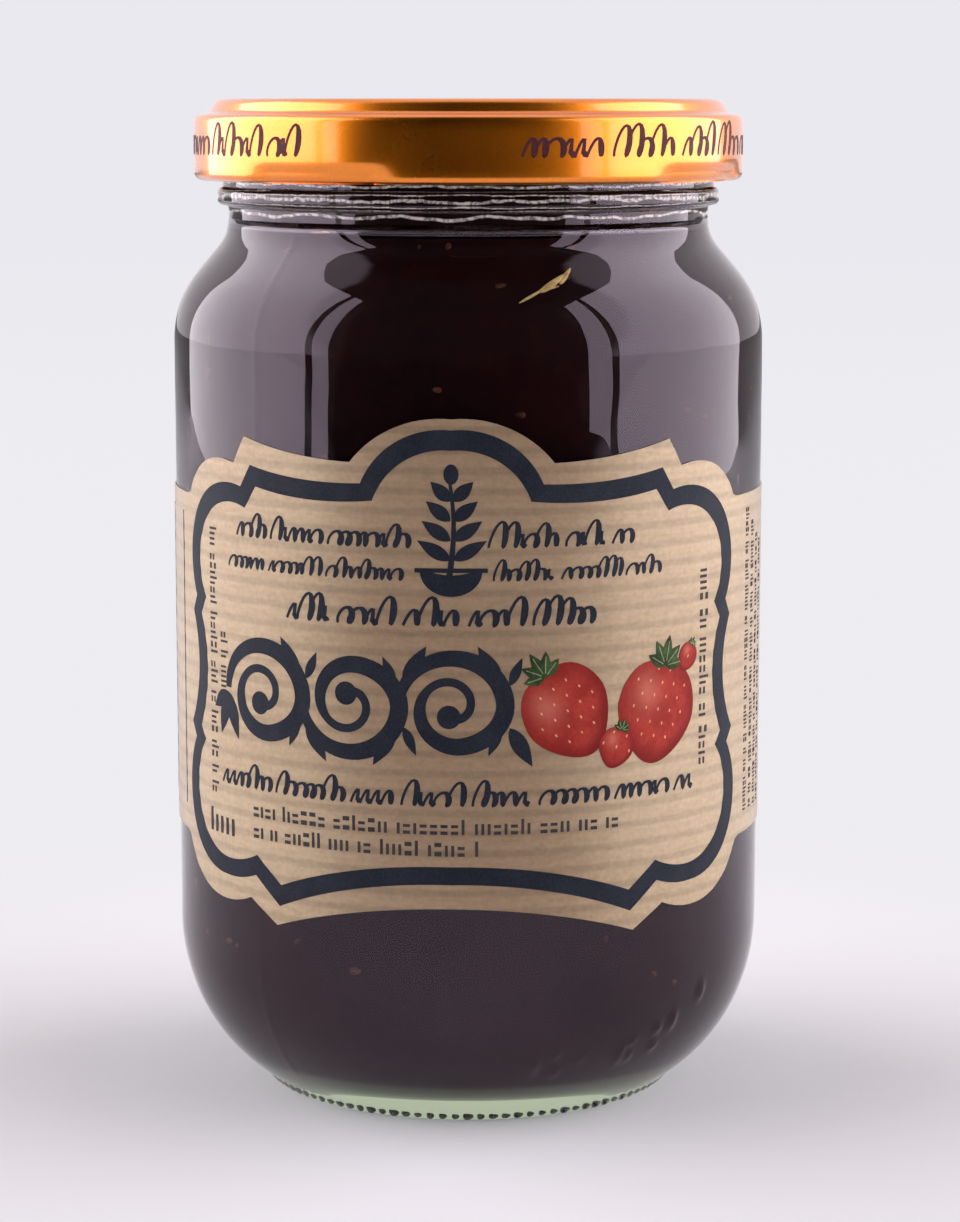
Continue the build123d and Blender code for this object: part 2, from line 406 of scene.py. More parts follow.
jar = dict(
    body=35.35, top=118.3, wall=3.0, heelReach=19.1, heelDrop=21.6, heelTop=19.9, bearing=24.7,
    bearingWidth=1.6,
    bearingLift=0.85, pushUp=2.4, middleFlat=3.0, floorEdge=3.7, floorCrown=4.7, neck=28.7, lean=39.8,
    lowBend=12.8, highBend=5.2, shoulderDrop=15.6, bead=30.0, beadLow=12.3, beadHigh=10.0, beadRound=0.6,
    finishRadius=29.4, rimOuter=1.2, rimInner=0.9, slices=420, knurls=105, knurlDepth=0.50,
    seams=(-43, 137), seamHeight=0.07, partingDrop=14.85, partingStep=0.10, threadHeight=1.2,
    threadWidth=2.0,
    threadArc=64, threadDrop=6.15, threadClimb=1.5, lugs=(58, 148, 238, 328),
    waveDepth=0.035, fineDepth=0.020)

heelMarks = (
    (13.4, 8.6, 1.6, 3.6), (17.6, 10.0, 1.6, 1.6), (18.0, 7.4, 1.6, 1.6), (23.2, 9.2, 1.3, 1.0),
    (32.5, 8.8, 1.6, 4.0), (34.6, 10.4, 1.5, 1.3), (34.8, 8.2, 1.5, 1.3), (40.5, 11.4, 1.7, 1.5),
    (41.0, 9.0, 1.7, 1.5), (44.5, 11.9, 1.6, 3.2), (51.5, 14.8, 1.6, 3.0))


def shoulderCorners(inset):
    # the shoulder's two corners moved inwards by the inset, neck first, and the bend at each
    lean = math.radians(jar["lean"])
    neckHeight = jar["top"] - jar["shoulderDrop"] - inset * math.tan(lean / 2)
    fall = (jar["body"] - jar["neck"]) / math.tan(lean)
    return ((jar["neck"] - inset, neckHeight), (jar["body"] - inset, neckHeight - fall),
            jar["highBend"] + inset, jar["lowBend"] - inset)


def ellipseArc(middle, reach, drop, start, end, count):
    # middle + (reach cos a, drop sin a) for a from start to end, in degrees
    angle = np.radians(np.linspace(start, end, count))[:, None]
    return np.hstack([middle[0] + reach * np.cos(angle), middle[1] + drop * np.sin(angle)])


def crownLine(crown, edge, count):
    # a parabola from the flat middle, at the crown's height, to the edge
    flat = jar["middleFlat"]
    radius = np.linspace(flat, edge[0], count)
    share = (radius - flat) / (edge[0] - flat)
    return np.stack([radius, crown + (edge[1] - crown) * share ** 2], -1)


def cavityLine(out, top, arcStep, lineStep):
    # the inside of the glass from a height down to the axis, moved out into the wall
    neck, body, highBend, lowBend = shoulderCorners(jar["wall"] - out)
    side = filleted([(neck[0], top), neck, body, (body[0], jar["heelTop"])],
                    [highBend, lowBend], arcStep, lineStep)
    middle = jar["body"] - jar["heelReach"]
    heelDrop = jar["heelTop"] - jar["floorEdge"] + out
    heel = ellipseArc((middle, jar["heelTop"]), body[0] - middle, heelDrop, 0, -90, round(26 / arcStep))[1:]
    floor = crownLine(jar["floorCrown"] - out, (middle, jar["floorEdge"] - out), 9)[::-1][1:]
    return np.vstack([side, heel, floor, [[0, jar["floorCrown"] - out]]])


def outsideLine():
    # the outside of the glass from the axis under the base up to the rim's inner edge
    neck, body, highBend, lowBend = shoulderCorners(0)
    middle = jar["body"] - jar["heelReach"]
    angle = math.degrees(math.asin((jar["heelTop"] - jar["bearingLift"]) / jar["heelDrop"]))
    inner = jar["bearing"] - jar["bearingWidth"]
    hollow = crownLine(jar["pushUp"], (inner, 0), 9)
    ring = spaced(np.array([[inner, 0], [jar["bearing"], 0]]), 0.55)[1:]
    heel = ellipseArc((middle, jar["heelTop"]), jar["heelReach"], jar["heelDrop"], -angle, 0, 34)
    low, high = jar["top"] - jar["beadLow"], jar["top"] - jar["beadHigh"]
    parting = jar["top"] - jar["partingDrop"]
    edge = jar["beadRound"] / 2
    bore = jar["neck"] - jar["wall"]
    side = filleted([(jar["body"], jar["heelTop"]), body, neck, (jar["neck"], parting - 0.4)],
                    [lowBend, highBend], 0.75, 1.5)
    step = np.array([[jar["neck"], parting - 0.2], [jar["neck"], parting], [jar["neck"], parting + 0.2]])
    finishLine = filleted(
        [(jar["neck"], parting + 0.4), (jar["neck"], low), (jar["bead"], low + edge),
         (jar["bead"], high - edge),
         (jar["finishRadius"], high), (jar["finishRadius"], jar["top"]), (bore, jar["top"]),
         (bore, jar["top"] - 2 * jar["rimInner"])],
        [0.2, 0.6, 0.6, 0.2, jar["rimOuter"], jar["rimInner"]], 0.35, 0.6)
    return np.vstack([[[0, jar["pushUp"]]], hollow, ring, heel, side[1:], step, finishLine])


outside = outsideLine()
inside = cavityLine(0, jar["top"] - 2 * jar["rimInner"], 1.3, 3.0)[1:]


def glassShift(radius, height, angle):
    # knurls round the foot, thread ridges, mould seams, the parting step, moulded marks and an uneven skin
    outer = (np.arange(len(radius)) < len(outside) - 1)[:, None]
    wave = (1 + np.cos(jar["knurls"] * angle)) / 2
    moved = lobe(radius, jar["bearing"] + 0.15, 2.2) * lobe(height, 0.6, 2.2) * wave * jar["knurlDepth"]
    onFinish = (height > jar["top"] - jar["beadHigh"]) * (height < jar["top"] - jar["rimOuter"])
    for direction in jar["lugs"]:
        share = around(angle, direction + jar["threadArc"] / 3) / jar["threadArc"]
        middle = jar["top"] - jar["threadDrop"] + jar["threadClimb"] * share
        ends = np.clip((0.5 - np.abs(share)) / 0.08, 0, 1)
        ridge = lobe(height, middle, jar["threadWidth"] * 1.5)
        moved = moved + onFinish * ends * jar["threadHeight"] * ridge
    onSide = (height > 4) * (height < jar["top"] - jar["beadHigh"])
    for direction in jar["seams"]:
        moved = moved + onSide * lobe(around(angle, direction), 0, 2.0) * jar["seamHeight"]
    moved = moved + lobe(height, jar["top"] - jar["partingDrop"], 0.7) * jar["partingStep"]
    smooth = eased(height, 6, 12) * eased(height, jar["top"] - jar["beadLow"],
        jar["top"] - jar["partingDrop"])
    moved = moved + smooth * jar["waveDepth"] * ripple(angle, height, 3, 5, (2, 9), (0.03, 0.2))
    moved = moved + smooth * jar["fineDepth"] * ripple(angle, height, 8, 7, (9, 26), (-0.9, 0.9))
    for direction, up, wide, tall in heelMarks:
        mark = lobe(around(angle, direction), 0, wide * 1.7) * lobe(height, up, tall)
        moved = moved + (height < 25) * np.minimum(mark * 1.6, 1) * 0.42
    return radius + outer * moved, height


points, faces = turned(np.vstack([outside, inside]), jar["slices"], glassShift)
addPiece("glassJar", points, faces, clearGlass, ["glass"])
print("stage: the glass is blown")

# The jam reaches just into the wall. Above its level a film of it clings to the neck.

# the pale trace colour is partly a painted highlight along the jam's top edge and partly dried jam; the
# base glow is a painted reflection of the table
filling = dict(
    reach=0.22, level=105.3, filmTop=110.2, filmThick=0.5, slices=360, base=(0.0048, 0.0009, 0.0019),
    dark=(0.0120, 0.0018, 0.0024), glintAndTraces=(0.80, 0.70, 0.67), innerIor=0.93,
    baseIor=0.862, baseTop=(6.4, 5.8), paintedTableGlow=(0.45, 0.51, 0.36),
    traces=((105.35, 0.26, 0.32, 150), (107.15, 0.18, 0.16, 320), (108.75, 0.22, 0.20, 260)))


def jamShift(radius, height, angle):
    # a lumpy top, a ragged edge to the film and a slightly uneven side
    level, rim = filling["level"], filling["filmTop"]
    lumps = ripple(angle, radius, 17, 9, (2, 11), (0.2, 0.9)) * np.clip(radius / 6, 0, 1)
    height = height + (radius < 24) * (height > level - 3) * lumps * 0.7
    ragged = ripple(angle, 0, 5, 7, (5, 40), (0, 0.1)) * 0.8
    height = height + eased(height, rim - 2.5, rim) * ragged
    side = (radius > 20) * (height > 10) * (height < level - 1)
    skin = ripple(angle, height, 21, 9, (4, 24), (-0.9, 0.9)) * 0.07
    return radius + side * skin, height


wallLine = cavityLine(filling["reach"], filling["filmTop"], 1.1, 1.8)
neckRadius = wallLine[0, 0] - filling["filmThick"]
pool = np.stack([np.linspace(0, neckRadius - 0.6, 26), np.full(26, filling["level"] - 0.5)], -1)
climb = ellipseArc((neckRadius - 0.6, filling["level"] + 0.4), 0.6, 0.9, -80, 0, 6)
filmLine = [climb[-1], [neckRadius, filling["filmTop"] - 0.2], [neckRadius + 0.2, filling["filmTop"]]]
film = spaced(np.array(filmLine), 0.8)
points, faces = turned(np.vstack([pool, climb, film[1:], wallLine])[::-1], filling["slices"], jamShift)


def makeJam():
    # dark jam with redder clouds; pale traces at three heights, the lowest a painted highlight where the
    # jam's top edge catches the light, the two above dried jam on the film; and a clear skin that mirrors
    # at a flat angle as jam does behind glass. Under the jar a painted reflection: the skin glows pale
    # green, no lamp, in place of the pale table seen through the foot
    material = finish("darkJam", filling["base"], filling["dark"], 0.4, 75, 600, 0.9, 0.35, IOR=1.08)
    tree = material.node_tree
    link = tree.links.new
    shader = tree.nodes["Principled BSDF"]
    where = node(tree, "ShaderNodeTexCoord")
    split = node(tree, "ShaderNodeSeparateXYZ")
    link(where.outputs["Object"], split.inputs[0])
    color = tree.nodes["speckle"].outputs["Color"]
    total = None
    for level, reach, wander, scale in filling["traces"]:
        drift = node(tree, "ShaderNodeTexNoise", Scale=float(scale), Detail=3.0)
        crumbs = node(tree, "ShaderNodeTexNoise", Scale=scale * 9.0, Detail=4.0)
        link(where.outputs["Object"], drift.inputs["Vector"])
        link(where.outputs["Object"], crumbs.inputs["Vector"])
        moved = mathNode(tree, "MULTIPLY_ADD", mathNode(tree, "SUBTRACT", drift.outputs["Fac"], 0.5),
                         wander * mm * 6, split.outputs["Z"])
        away = mathNode(tree, "ABSOLUTE", mathNode(tree, "SUBTRACT", moved, level * mm))
        band = rangeNode(tree, away, reach * mm, reach * mm * 0.4)
        gaps = rangeNode(tree, crumbs.outputs["Fac"], 0.38, 0.58, 0.25, 1.0)
        broken = mathNode(tree, "MULTIPLY", band, gaps)
        total = broken if total is None else mathNode(tree, "MAXIMUM", total, broken)
    # pale traces: the lowest, at the jam's top edge, is a painted highlight; the two higher ones are dried
    # jam on the film
    link(mixNode(tree, total, color, filling["glintAndTraces"]), shader.inputs["Base Color"])
    mirror = node(tree, "ShaderNodeBsdfAnisotropic", Color=(0.93, 0.97, 0.93, 1), Roughness=0.03)
    # painted reflection: a pale green glow below the base top, no lamp, standing in for the pale table seen
    # through the glass foot
    glow = node(tree, "ShaderNodeEmission", Color=(*filling["paintedTableGlow"], 1))
    under = rangeNode(tree, split.outputs["Z"], *[edge * mm for edge in filling["baseTop"]])
    flat = node(tree, "ShaderNodeFresnel", IOR=filling["innerIor"])
    flatUnder = node(tree, "ShaderNodeFresnel", IOR=filling["baseIor"])
    away = mathNode(tree, "MULTIPLY", flat.outputs["Fac"], mathNode(tree, "SUBTRACT", 1.0, under))
    bright = node(tree, "ShaderNodeMixShader")
    mix = node(tree, "ShaderNodeMixShader")
    link(under, bright.inputs["Fac"])
    link(mirror.outputs[0], bright.inputs[1])
    link(glow.outputs[0], bright.inputs[2])
    link(mathNode(tree, "MULTIPLY_ADD", flatUnder.outputs["Fac"], under, away), mix.inputs["Fac"])
    link(shader.outputs[0], mix.inputs[1])
    link(bright.outputs[0], mix.inputs[2])
    link(mix.outputs[0], tree.nodes["Material Output"].inputs["Surface"])
    return material


darkJam = makeJam()
addPiece("jamFill", points, faces, darkJam, ["jam"])
print("stage: the jar is filled")

# What floats in the jam against the glass: seeds all over, and a few pale straws.

seeds = dict(count=260, length=1.35, width=0.85, thick=0.5, proud=0.10, low=14.0, high=102.0)


def eggs(middles, directions, tilts, lengths, widths, thicks, proud, bands=6, sides=9):
    # pointed eggs that lie against the inside of the wall: along the wall by tilt, flat side to the glass
    lat = np.linspace(0, math.pi, bands + 1)[1:-1]
    lon = np.arange(sides) * tau / sides
    along = np.concatenate([[1], np.repeat(np.cos(lat), sides), [-1]])
    girth = np.sin(lat) * (1 - 0.28 * np.cos(lat))
    across = np.concatenate([[0], (girth[:, None] * np.cos(lon)).ravel(), [0]])
    outward = np.concatenate([[0], (girth[:, None] * np.sin(lon)).ravel(), [0]])
    count = len(directions)
    u = along * lengths[:, None] / 2
    v = across * widths[:, None] / 2
    w = outward * thicks[:, None] / 2 + proud
    cosT, sinT = np.cos(tilts)[:, None], np.sin(tilts)[:, None]
    side, up = u * cosT - v * sinT, u * sinT + v * cosT
    radius = middles[:, :1] + w
    turn = directions[:, None] + side / middles[:, :1]
    spots = np.stack([radius * np.sin(turn), -radius * np.cos(turn), middles[:, 1:] + up], -1)
    one = gridFaces(bands - 1, sides).tolist()
    one = [[corner + 1 for corner in face] for face in one]
    ring = 1 + np.arange(sides)
    caps = [[0, int(b), int(a)] for a, b in zip(ring, np.roll(ring, -1))]
    low = ring + (bands - 2) * sides
    caps += [[(bands - 1) * sides + 1, int(a), int(b)] for a, b in zip(low, np.roll(low, -1))]
    size = spots.shape[1]
    faces = [[corner + size * number for corner in face] for number in range(count) for face in one + caps]
    return spots.reshape(-1, 3), faces


def scatterSeeds():
    picks = np.random.default_rng(29)
    count = seeds["count"]
    height = picks.uniform(seeds["low"], seeds["high"], count)
    wall = cavityLine(0, filling["level"], 1.0, 1.0)
    radius = np.interp(height, wall[::-1, 1][9:], wall[::-1, 0][9:])
    size = picks.uniform(0.75, 1.2, count)
    return eggs(np.stack([radius, height], -1),
                picks.uniform(0, tau, count), picks.uniform(0, math.pi, count),
                seeds["length"] * size, seeds["width"] * size, seeds["thick"] * size, seeds["proud"])


seedCoat = finish("seedCoat", (0.085, 0.030, 0.014), (0.030, 0.008, 0.006), 0.35, 700, 4000, 0.8, 0.4,
    IOR=1.15)
points, faces = scatterSeeds()
addPiece("jamSeeds", points, faces, seedCoat, mend=True)

shadeBeads = dict(radius=24.75, up=0.60, wide=1.16, tall=1.06, thick=0.9)


def ringShadeBeads():
    # one dark bead to each knurl, all at one height round the foot, some larger than others: painted shade
    # in place of the contact shadow and dark refraction seen under the knurls
    count = jar["knurls"]
    uneven = np.random.default_rng(31).uniform(0.72, 1.12, (3, count))
    place = np.repeat([[shadeBeads["radius"], shadeBeads["up"]]], count, 0)
    size = [shadeBeads[name] * share for name, share in zip(("wide", "tall", "thick"), uneven)]
    return eggs(place, np.arange(count) * tau / count, np.zeros(count), *size, 0.0)


# the beads' dark colour is painted shade: the contact shadow and dark refraction under the knurls
shadeBeadDark = finish("shadeBeadDark", (0.018, 0.024, 0.016), (0.005, 0.006, 0.005), 0.2, 500, 3000, 0.6, 0.3)
points, faces = ringShadeBeads()
addPiece("footShadeBeads", points, faces, shadeBeadDark, mend=True)

strawBits = ((32.0, 97.0, 13.4, 30, 4.6, 0.32), (31.9, 98.2, 17.0, 36, 3.8, 0.80),
             (31.9, 99.0, 19.6, 55, 2.3, 0.60), (31.9, 97.6, 16.2, 12, 2.4, 0.40),
             (25.8, 103.8, -39.0, 5, 2.0, 0.7), (25.8, 103.5, -36.6, 12, 1.2, 0.5))
radius, height, direction, tilt, length, width = np.array(strawBits, float).T
straw = finish("dryStraw", (0.66, 0.47, 0.20), (0.34, 0.19, 0.07), 0.45, 900, 6000, 0.7, 0.5, 0.3,
    0.00005, IOR=1.2)
points, faces = eggs(np.stack([radius, height], -1), np.radians(direction), np.radians(tilt), length, width,
                     width * 0.6, 0.25, 9, 8)
addPiece("strawBits", points, faces, straw, mend=True)
print("stage: seeds and straws are in")

# The twist lid: one skin from the middle of its panel over the ring and the skirt, round the hem and back.

cap = dict(
    top=118.6, height=9.5, gauge=0.25, skirt=32.75, crest=30.0, crestSlope=0.95, crestBend=1.35,
    crestInner=25.2,
    crestDrop=1.55, slope=0.45, shoulderBend=0.8, coveBend=0.7, panelDrop=1.2, panelBend=0.8, button=9.0,
    buttonRise=0.35, buttonBend=1.5, hem=0.9, lugArc=31, lugEase=7.5, dent=0.42, dentHeight=1.5,
    lugReach=0.9,
    hemLift=0.45, slices=480)


def capLine(inset, arcStep, lineStep):
    # the lid from the middle of its panel to the top of its hem, moved in and down by the inset
    top = cap["top"] - inset
    panel, foot = top - cap["panelDrop"], top - cap["crestDrop"]
    bottom = cap["top"] - cap["height"] + cap["hem"]
    return filleted(
        [(0, panel + cap["buttonRise"]), (cap["button"] - inset, panel + cap["buttonRise"]),
         (cap["button"] + 1 - inset, panel), (cap["crestInner"] - inset, panel),
         (cap["crestInner"] + 0.6 - inset, top), (cap["crest"] - inset, top),
         (cap["crest"] + cap["crestSlope"] - inset, foot), (cap["skirt"] - inset, foot - cap["slope"]),
         (cap["skirt"] - inset, bottom)],
        [cap["buttonBend"], cap["buttonBend"], cap["panelBend"] - inset, cap["panelBend"],
         cap["crestBend"] - inset, cap["coveBend"] + inset, cap["shoulderBend"] - inset], arcStep, lineStep)


def hemLine():
    # most of a circle, from the outside of the skirt round below to the inside
    middle = (cap["skirt"] - cap["hem"], cap["top"] - cap["height"] + cap["hem"])
    return ellipseArc(middle, cap["hem"], cap["hem"], 0, -250, 22)[1:]


def capShift(radius, height, angle):
    # at four places the foot of the skirt is pressed in outside, and the hem reaches in under the thread
    bottom = cap["top"] - cap["height"]
    for direction in jar["lugs"]:
        half = cap["lugArc"] / 2
        away = np.abs(around(angle, direction))
        share = 1 - eased(away, half - cap["lugEase"] / 2, half + cap["lugEase"] / 2)
        low = 1 - eased(height, bottom + cap["dentHeight"] - 0.7, bottom + cap["dentHeight"] + 0.5)
        outer = radius > cap["skirt"] - cap["hem"]
        inner = (radius <= cap["skirt"] - cap["hem"]) * (height < bottom + 2 * cap["hem"])
        reach = inner * lobe(height, bottom + cap["hem"], 1.6) * cap["lugReach"] + outer * low * cap["dent"]
        radius = radius - share * reach
        height = height + outer * low * share * cap["hemLift"] * eased(height, bottom - 0.2, bottom + 0.9)
    return radius, height


lining = capLine(cap["gauge"], 0.5, 2.0)[::-1]
lining = lining[lining[:, 1] > cap["top"] - cap["height"] + 1.9 * cap["hem"]]
points, faces = turned(np.vstack([capLine(0, 0.22, 0.9), hemLine(), lining])[::-1], cap["slices"], capShift)


def makeLacquer():
    # clear gold lacquer over tin: rubbed bright spots and a hard coat
    material = finish("goldLacquer", (0.92, 0.268, 0.011), (0.72, 0.185, 0.008), 0.36, 70, 2600, 0.35,
        0.3, 0.10,
                      0.000012, Metallic=1.0, Coat_Weight=1.0, Coat_Roughness=0.10)
    tree = material.node_tree
    where = node(tree, "ShaderNodeTexCoord")
    smear = node(tree, "ShaderNodeTexNoise", Scale=45.0, Detail=5.0)
    tree.links.new(where.outputs["Object"], smear.inputs["Vector"])
    rough = rangeNode(tree, smear.outputs["Fac"], 0.3, 0.7, 0.25, 0.34)
    tree.links.new(rough, tree.nodes["Principled BSDF"].inputs["Roughness"])
    return material


addPiece("twistLid", points, faces, makeLacquer(), ["lid"])
print("stage: the lid is on")

# The paper label, drawn flat as (along, up) in millimetres from its middle and its foot, and bent round.

sheet = dict(
    radius=35.40, thick=0.12, turn=-3.1, foot=24.3, backGap=29.0,
    ribPitch=2.28,
    ribDepth=0.014, rows=118, lift=0.03, sink=0.05)
sheetFace = sheet["radius"] + sheet["thick"]


def arc(start, through, end, count):
    # points on the circle through three points, from the first to the last
    a, b, c = (np.array(p, float) for p in (start, through, end))
    middle = np.linalg.solve(2 * np.array([b - a, c - a]), [b @ b - a @ a, c @ c - a @ a])
    first, mid, last = (math.atan2(*(p - middle)[::-1]) for p in (a, b, c))
    sweep = (last - first) % tau
    if (mid - first) % tau > sweep:
        sweep -= tau
    angle = first + sweep * np.linspace(0, 1, count)
    radius = np.linalg.norm(a - middle)
    return middle + radius * np.stack([np.cos(angle), np.sin(angle)], -1)


def straight(start, end, count=5):
    # evenly spaced points on the straight line between two
    return np.linspace(start, end, count)


def joined(*runs):
    # one line from several runs, each starting where the last ends, the shared point kept once
    return np.vstack([runs[0]] + [run[1:] for run in runs[1:]])


def onJar(along, up, out=0.0):
    # a flat point of the label at its place round the jar, and how far it lies out from the paper's face
    turn = math.radians(sheet["turn"]) + along / sheetFace
    radius = sheetFace + out
    return np.stack([radius * np.sin(turn), -radius * np.cos(turn), up + sheet["foot"]], -1)


upperEdge = joined(
    arc((0, 59.2), (8.2, 57.3), (11.7, 54.2), 16), arc((11.7, 54.2), (19.0, 54.8), (26.65, 56.3), 12),
    straight((26.65, 56.3), (28.65, 53.05)), arc((28.65, 53.05), (35.1, 52.65), (39.2, 48.9), 14),
    np.array([[39.2, 48.9], [39.75, 48.66], [40.6, 48.55]]))
lowerEdge = joined(
    arc((0, 3.7), (11.0, 2.8), (21.8, 0), 16), straight((21.8, 0), (26.1, 2.65)),
    arc((26.1, 2.65), (34.5, 2.3), (40.5, 7.2), 15), np.array([[40.5, 7.2], [40.9, 7.6], [41.8, 7.9]]))


def makePaper():
    # columns between the two edge curves, ribbed on the face, closed by the paper's own thickness
    half = math.pi * sheetFace - sheet["backGap"] / 2
    marks = np.concatenate([upperEdge[:, 0], lowerEdge[:, 0], np.linspace(42.5, half, 26)])
    marks = np.unique(np.round(marks, 1))
    along = np.concatenate([-marks[:0:-1], marks])
    high = np.interp(np.abs(along), upperEdge[:, 0], upperEdge[:, 1])
    low = np.interp(np.abs(along), lowerEdge[:, 0], lowerEdge[:, 1])
    up = low + (high - low) * np.linspace(0, 1, sheet["rows"])[:, None]
    across = np.repeat(along[None], sheet["rows"], 0)
    rib = np.cos(tau * up / sheet["ribPitch"]) * sheet["ribDepth"]
    front = onJar(across, up, rib)
    back = onJar(across, up, np.full_like(up, -sheet["thick"]))
    rows, columns = up.shape
    faces = gridFaces(2 * rows, columns, True, False).tolist()
    for column, flip in ((0, False), (columns - 1, True)):
        a = np.arange(rows - 1) * columns + column
        b = (2 * rows - 1 - np.arange(rows - 1)) * columns + column
        quads = np.stack([a, a + columns, b - columns, b], -1)
        faces += (quads[:, ::-1] if flip else quads).tolist()
    return np.concatenate([front, back[::-1]], 0).reshape(-1, 3), faces


def makeKraft():
    # laid kraft paper: level ribs, fibres stretched along them, darker flecks and a satin face, its colour
    # paled as it turns away: a painted sheen of the side lamps
    material = finish("kraftPaper", (0.41, 0.290, 0.176), (0.32, 0.210, 0.118), 0.44, 38, 1800, 0.5, 0.45,
                      Metallic=0.17, Sheen_Weight=0.95, Sheen_Roughness=0.30)
    tree = material.node_tree
    link = tree.links.new
    shader = tree.nodes["Principled BSDF"]
    where = node(tree, "ShaderNodeTexCoord")
    split = node(tree, "ShaderNodeSeparateXYZ")
    link(where.outputs["Object"], split.inputs[0])
    drift = node(tree, "ShaderNodeTexNoise", Scale=60.0, Detail=3.0)
    link(where.outputs["Object"], drift.inputs["Vector"])
    climb = mathNode(tree, "MULTIPLY_ADD", drift.outputs["Fac"], 0.7, mathNode(
        tree, "MULTIPLY", split.outputs["Z"], tau / (sheet["ribPitch"] * mm)))
    wave = mathNode(tree, "COSINE", mathNode(tree, "SUBTRACT", climb,
        tau * sheet["foot"] / sheet["ribPitch"]))
    stretch = node(tree, "ShaderNodeMapping", Scale=(1.0, 1.0, 4.0))
    fibre = node(tree, "ShaderNodeTexNoise", Scale=500.0, Detail=6.0)
    link(where.outputs["Object"], stretch.inputs["Vector"])
    link(stretch.outputs["Vector"], fibre.inputs["Vector"])
    ribTone = rangeNode(tree, wave, -1.0, 0.1, 0.84, 1.03)
    fibreTone = rangeNode(tree, fibre.outputs["Fac"], 0.3, 0.7, 0.93, 1.05)
    tone = mathNode(tree, "MULTIPLY", ribTone, fibreTone)
    shaded = node(tree, "ShaderNodeVectorMath")
    shaded.operation = "SCALE"
    link(tree.nodes["speckle"].outputs["Color"], shaded.inputs[0])
    link(tone, shaded.inputs["Scale"])
    # painted sheen: the base colour is made paler where the face turns away from the view
    slant = node(tree, "ShaderNodeLayerWeight", Blend=0.5)
    turnedAway = rangeNode(tree, slant.outputs["Facing"], 0.04, 0.20)
    paintedSheenColor = node(tree, "ShaderNodeVectorMath")
    paintedSheenColor.operation = "MULTIPLY"
    link(shaded.outputs["Vector"], paintedSheenColor.inputs[0])
    link(mixNode(tree, turnedAway, (1.0, 1.0, 1.0), (1.34, 1.45, 1.52)), paintedSheenColor.inputs[1])
    link(paintedSheenColor.outputs["Vector"], shader.inputs["Base Color"])
    relief = node(tree, "ShaderNodeBump", Strength=0.3, Distance=0.00005)
    link(fibre.outputs["Fac"], relief.inputs["Height"])
    link(relief.outputs["Normal"], shader.inputs["Normal"])
    return material


points, faces = makePaper()
addPiece("paperLabel", points, faces, makeKraft(), ["label"], crease=50)
print("stage: the label is on")

# Print: thin closed shapes that lie on the paper or on the lid's skirt.

navyInk = finish("navyInk", (0.012, 0.016, 0.026), (0.030, 0.034, 0.048), 0.5, 300, 4000, 0.4, 0.5,
                 IOR=1.2)
greyInk = finish("greyInk", (0.036, 0.032, 0.036), (0.075, 0.065, 0.062), 0.6, 300, 4000, 0.5, 0.5,
                 IOR=1.2)
lidInk = finish("lidInk", (0.060, 0.016, 0.028), (0.12, 0.035, 0.03), 0.4, 300, 4000, 0.4, 0.5,
                 IOR=1.2)
leafInk = finish("leafInk", (0.085, 0.135, 0.050), (0.020, 0.040, 0.014), 0.5, 500, 3000, 0.8, 0.4,
                 IOR=1.2)
veinInk = finish("veinInk", (0.33, 0.40, 0.22), (0.16, 0.22, 0.09), 0.5, 500, 3000, 0.6, 0.4,
                 IOR=1.2)
seedInk = finish("seedInk", (0.86, 0.50, 0.26), (0.60, 0.24, 0.10), 0.5, 500, 3000, 0.5, 0.4,
                 IOR=1.2)


def onLid(along, up, out=0.0):
    # a flat point at its place on the skirt, along from the front and up from the skirt's foot
    turn = along / cap["skirt"]
    radius = cap["skirt"] + out
    return np.stack([radius * np.sin(turn), -radius * np.cos(turn), up + cap["top"] - cap["height"]], -1)


